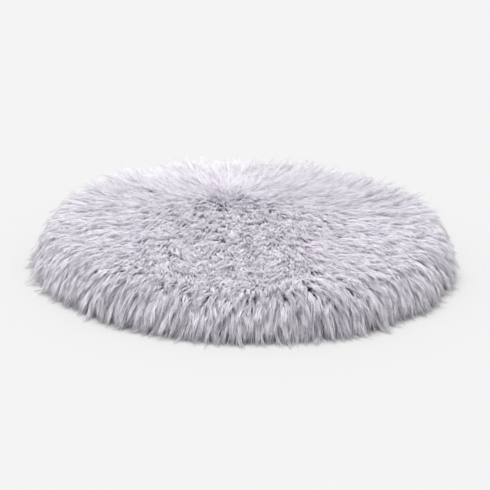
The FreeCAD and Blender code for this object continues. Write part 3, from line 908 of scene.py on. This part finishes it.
def herringbone(tree, pitch):
    """Twill that turns back on itself every few threads."""
    x, y, _, _ = axes(tree)
    return stripes(tree, maths(tree, "ADD", x, maths(tree, "PINGPONG", y, 0.0022)), pitch)


def twist(tree, pitch):
    """The slant of plied thread."""
    x, y, z, _ = axes(tree)
    level = maths(tree, "ADD", x, y)
    return stripes(tree, maths(tree, "ADD", level, maths(tree, "MULTIPLY", z, 1.6)), pitch)


def speckle(tree, scale):
    return noise(tree, scale, 4.0)


def textured(name, dark, light, height, depth, gap=0.7, rough=(0.75, 0.95), mottle=45.0, specular=0.3):
    """A surface in two tints, with painted shade darkening its hollows, and its relief as bump."""
    material, tree, shader = new_material(name)
    relief = height(tree)
    tint = ramp(tree, noise(tree, mottle), [(0.3, dark), (0.7, light)])
    # painted shade: the hollows of the relief are darkened down to the gap grey
    shade = ramp(tree, relief, [(0.0, (gap, gap, gap)), (0.6, (1.0, 1.0, 1.0))])
    tree.links.new(blend_colours(tree, "MULTIPLY", 1.0, tint, shade), shader.inputs["Base Color"])
    worn = maths(tree, "MULTIPLY_ADD", noise(tree, mottle * 3), rough[1] - rough[0], rough[0])
    tree.links.new(worn, shader.inputs["Roughness"])
    shader.inputs["Specular IOR Level"].default_value = specular
    fine = maths(tree, "MULTIPLY_ADD", noise(tree, 2600.0), 0.25, relief)
    bump = add(tree, "ShaderNodeBump")
    bump.inputs["Distance"].default_value = depth
    bump.inputs["Strength"].default_value = 0.8
    tree.links.new(fine, bump.inputs["Height"])
    tree.links.new(bump.outputs["Normal"], shader.inputs["Normal"])
    return material, tree, shader


@functools.cache
def knit_material():
    return textured("knit_backing", (0.60, 0.57, 0.64), (0.70, 0.67, 0.74), lambda t: knit(t, 0.0012),
                    0.0003)[0]


@functools.cache
def base_material():
    return textured("base_cloth", (0.44, 0.42, 0.48), (0.54, 0.52, 0.58), lambda t: weave(t, 0.0011),
                    0.00025)[0]


@functools.cache
def dot_material():
    return textured("grip_dots", (0.60, 0.59, 0.63), (0.68, 0.67, 0.71), lambda t: speckle(t, 900.0),
                    0.00006, gap=0.9, rough=(0.45, 0.6), specular=0.45)[0]


@functools.cache
def thread_material():
    return textured("thread", (0.62, 0.59, 0.66), (0.72, 0.69, 0.76), lambda t: twist(t, 0.0005), 0.0001,
                    gap=0.65, rough=(0.5, 0.7))[0]


@functools.cache
def label_material():
    return textured("label_satin", (0.86, 0.86, 0.86), (0.92, 0.92, 0.91), lambda t: weave(t, 0.0004),
                    0.00005, gap=0.93, rough=(0.35, 0.5), specular=0.5)[0]


@functools.cache
def tape_material():
    return textured("zip_tape", (0.45, 0.43, 0.49), (0.54, 0.52, 0.58), lambda t: herringbone(t, 0.0008),
                    0.0002)[0]


@functools.cache
def nylon_material():
    return textured("zip_nylon", (0.40, 0.38, 0.44), (0.50, 0.48, 0.54), lambda t: speckle(t, 700.0),
                    0.00004, gap=0.85, rough=(0.3, 0.45), specular=0.5)[0]


@functools.cache
def liner_material():
    return textured("liner_cloth", (0.84, 0.84, 0.82), (0.91, 0.91, 0.90), lambda t: weave(t, 0.0009),
                    0.00015, gap=0.86)[0]


@functools.cache
def fibre_material():
    material, _, shader = textured("fibre", (0.88, 0.88, 0.87), (0.96, 0.96, 0.96),
                                   lambda t: speckle(t, 260.0), 0.0012, gap=0.82)
    shader.inputs["Sheen Weight"].default_value = 0.2
    return material


@functools.cache
def metal_material():
    """Grey paint over zinc, worn bright along the edges."""
    material, tree, shader = textured("zip_metal", (0.40, 0.39, 0.43), (0.48, 0.47, 0.51),
                                      lambda t: speckle(t, 1500.0), 0.00003, gap=0.9, rough=(0.28, 0.42))
    edge = add(tree, "ShaderNodeNewGeometry").outputs["Pointiness"]
    edge = maths(tree, "MULTIPLY", maths(tree, "SUBTRACT", edge, 0.52), 9.0)
    worn = maths(tree, "MULTIPLY", maths(tree, "MINIMUM", maths(tree, "MAXIMUM", edge, 0.0), 1.0),
                 noise(tree, 500.0))
    paint = shader.inputs["Base Color"].links[0].from_socket
    bright = ramp(tree, noise(tree, 800.0), [(0.0, (0.62, 0.61, 0.62)), (1.0, (0.74, 0.73, 0.73))])
    mix = add(tree, "ShaderNodeMix", data_type="RGBA")
    tree.links.new(worn, mix.inputs[0])
    tree.links.new(paint, mix.inputs[6])
    tree.links.new(bright, mix.inputs[7])
    tree.links.new(mix.outputs[2], shader.inputs["Base Color"])
    shader.inputs["Metallic"].default_value = 0.35
    return material


# ---- camera, light and floor ------------------------------------------------------
CAMERA_ELEVATION = math.radians(19.5)
CAMERA_DISTANCE = 2.2
CAMERA_ROLL = math.radians(1.2)
CAMERA_TARGET = Vector((-0.001, 0.0, 0.028))
FRAME_WIDTH = 0.668         # metres across the picture at the bed's middle
SENSOR = 36.0


def make_camera():
    data = bpy.data.cameras.new("camera")
    camera = bpy.data.objects.new("camera", data)
    bpy.context.scene.collection.objects.link(camera)
    back = Vector((0, -math.cos(CAMERA_ELEVATION), math.sin(CAMERA_ELEVATION)))
    camera.location = CAMERA_TARGET + back * CAMERA_DISTANCE
    turn = Euler((math.pi / 2 - CAMERA_ELEVATION, 0, 0)).to_matrix() @ Matrix.Rotation(CAMERA_ROLL, 3, "Z")
    camera.rotation_euler = turn.to_euler()
    data.sensor_width = SENSOR
    data.lens = SENSOR * CAMERA_DISTANCE / FRAME_WIDTH
    data.clip_end = 100
    bpy.context.scene.camera = camera


def sun_light(name, towards, power, softness):
    """A soft even light from that direction, as a large overhead softbox gives."""
    data = bpy.data.lights.new(name, "SUN")
    data.energy = power
    data.angle = softness
    light = bpy.data.objects.new(name, data)
    bpy.context.scene.collection.objects.link(light)
    light.rotation_euler = towards.to_track_quat("Z", "Y").to_euler()


def make_light():
    world = bpy.data.worlds.new("studio")
    bpy.context.scene.world = world
    world.use_nodes = True
    world.node_tree.nodes["Background"].inputs["Color"].default_value = (1, 1, 1, 1)
    world.node_tree.nodes["Background"].inputs["Strength"].default_value = WORLD_STRENGTH
    sun_light("key", SUN_TOWARDS, SUN_POWER, SUN_SOFTNESS)
    bpy.context.scene.cycles.max_bounces = 14
    bpy.context.scene.cycles.diffuse_bounces = 10
    view = bpy.context.scene.view_settings
    view.view_transform = "Standard"
    view.look = "None"


def make_floor():
    r = FLOOR_REACH
    mesh = bpy.data.meshes.new("floor")
    mesh.from_pydata([(-r, -r, 0), (r, -r, 0), (r, r, 0), (-r, r, 0)], [], [(0, 1, 2, 3)])
    floor = bpy.data.objects.new("floor", mesh)
    bpy.context.scene.collection.objects.link(floor)
    material, _, shader = new_material("floor")
    shader.inputs["Base Color"].default_value = (FLOOR_GREY, FLOOR_GREY, FLOOR_GREY, 1)
    shader.inputs["Roughness"].default_value = 0.9
    shader.inputs["Specular IOR Level"].default_value = 0.1
    mesh.materials.append(material)


make_camera()
make_light()
make_floor()
furs = make_fur()
make_filling()
make_liner()
make_backing()
make_base(-1, "front")
make_base(1, "rear")
make_threads()
make_label()
make_zip()
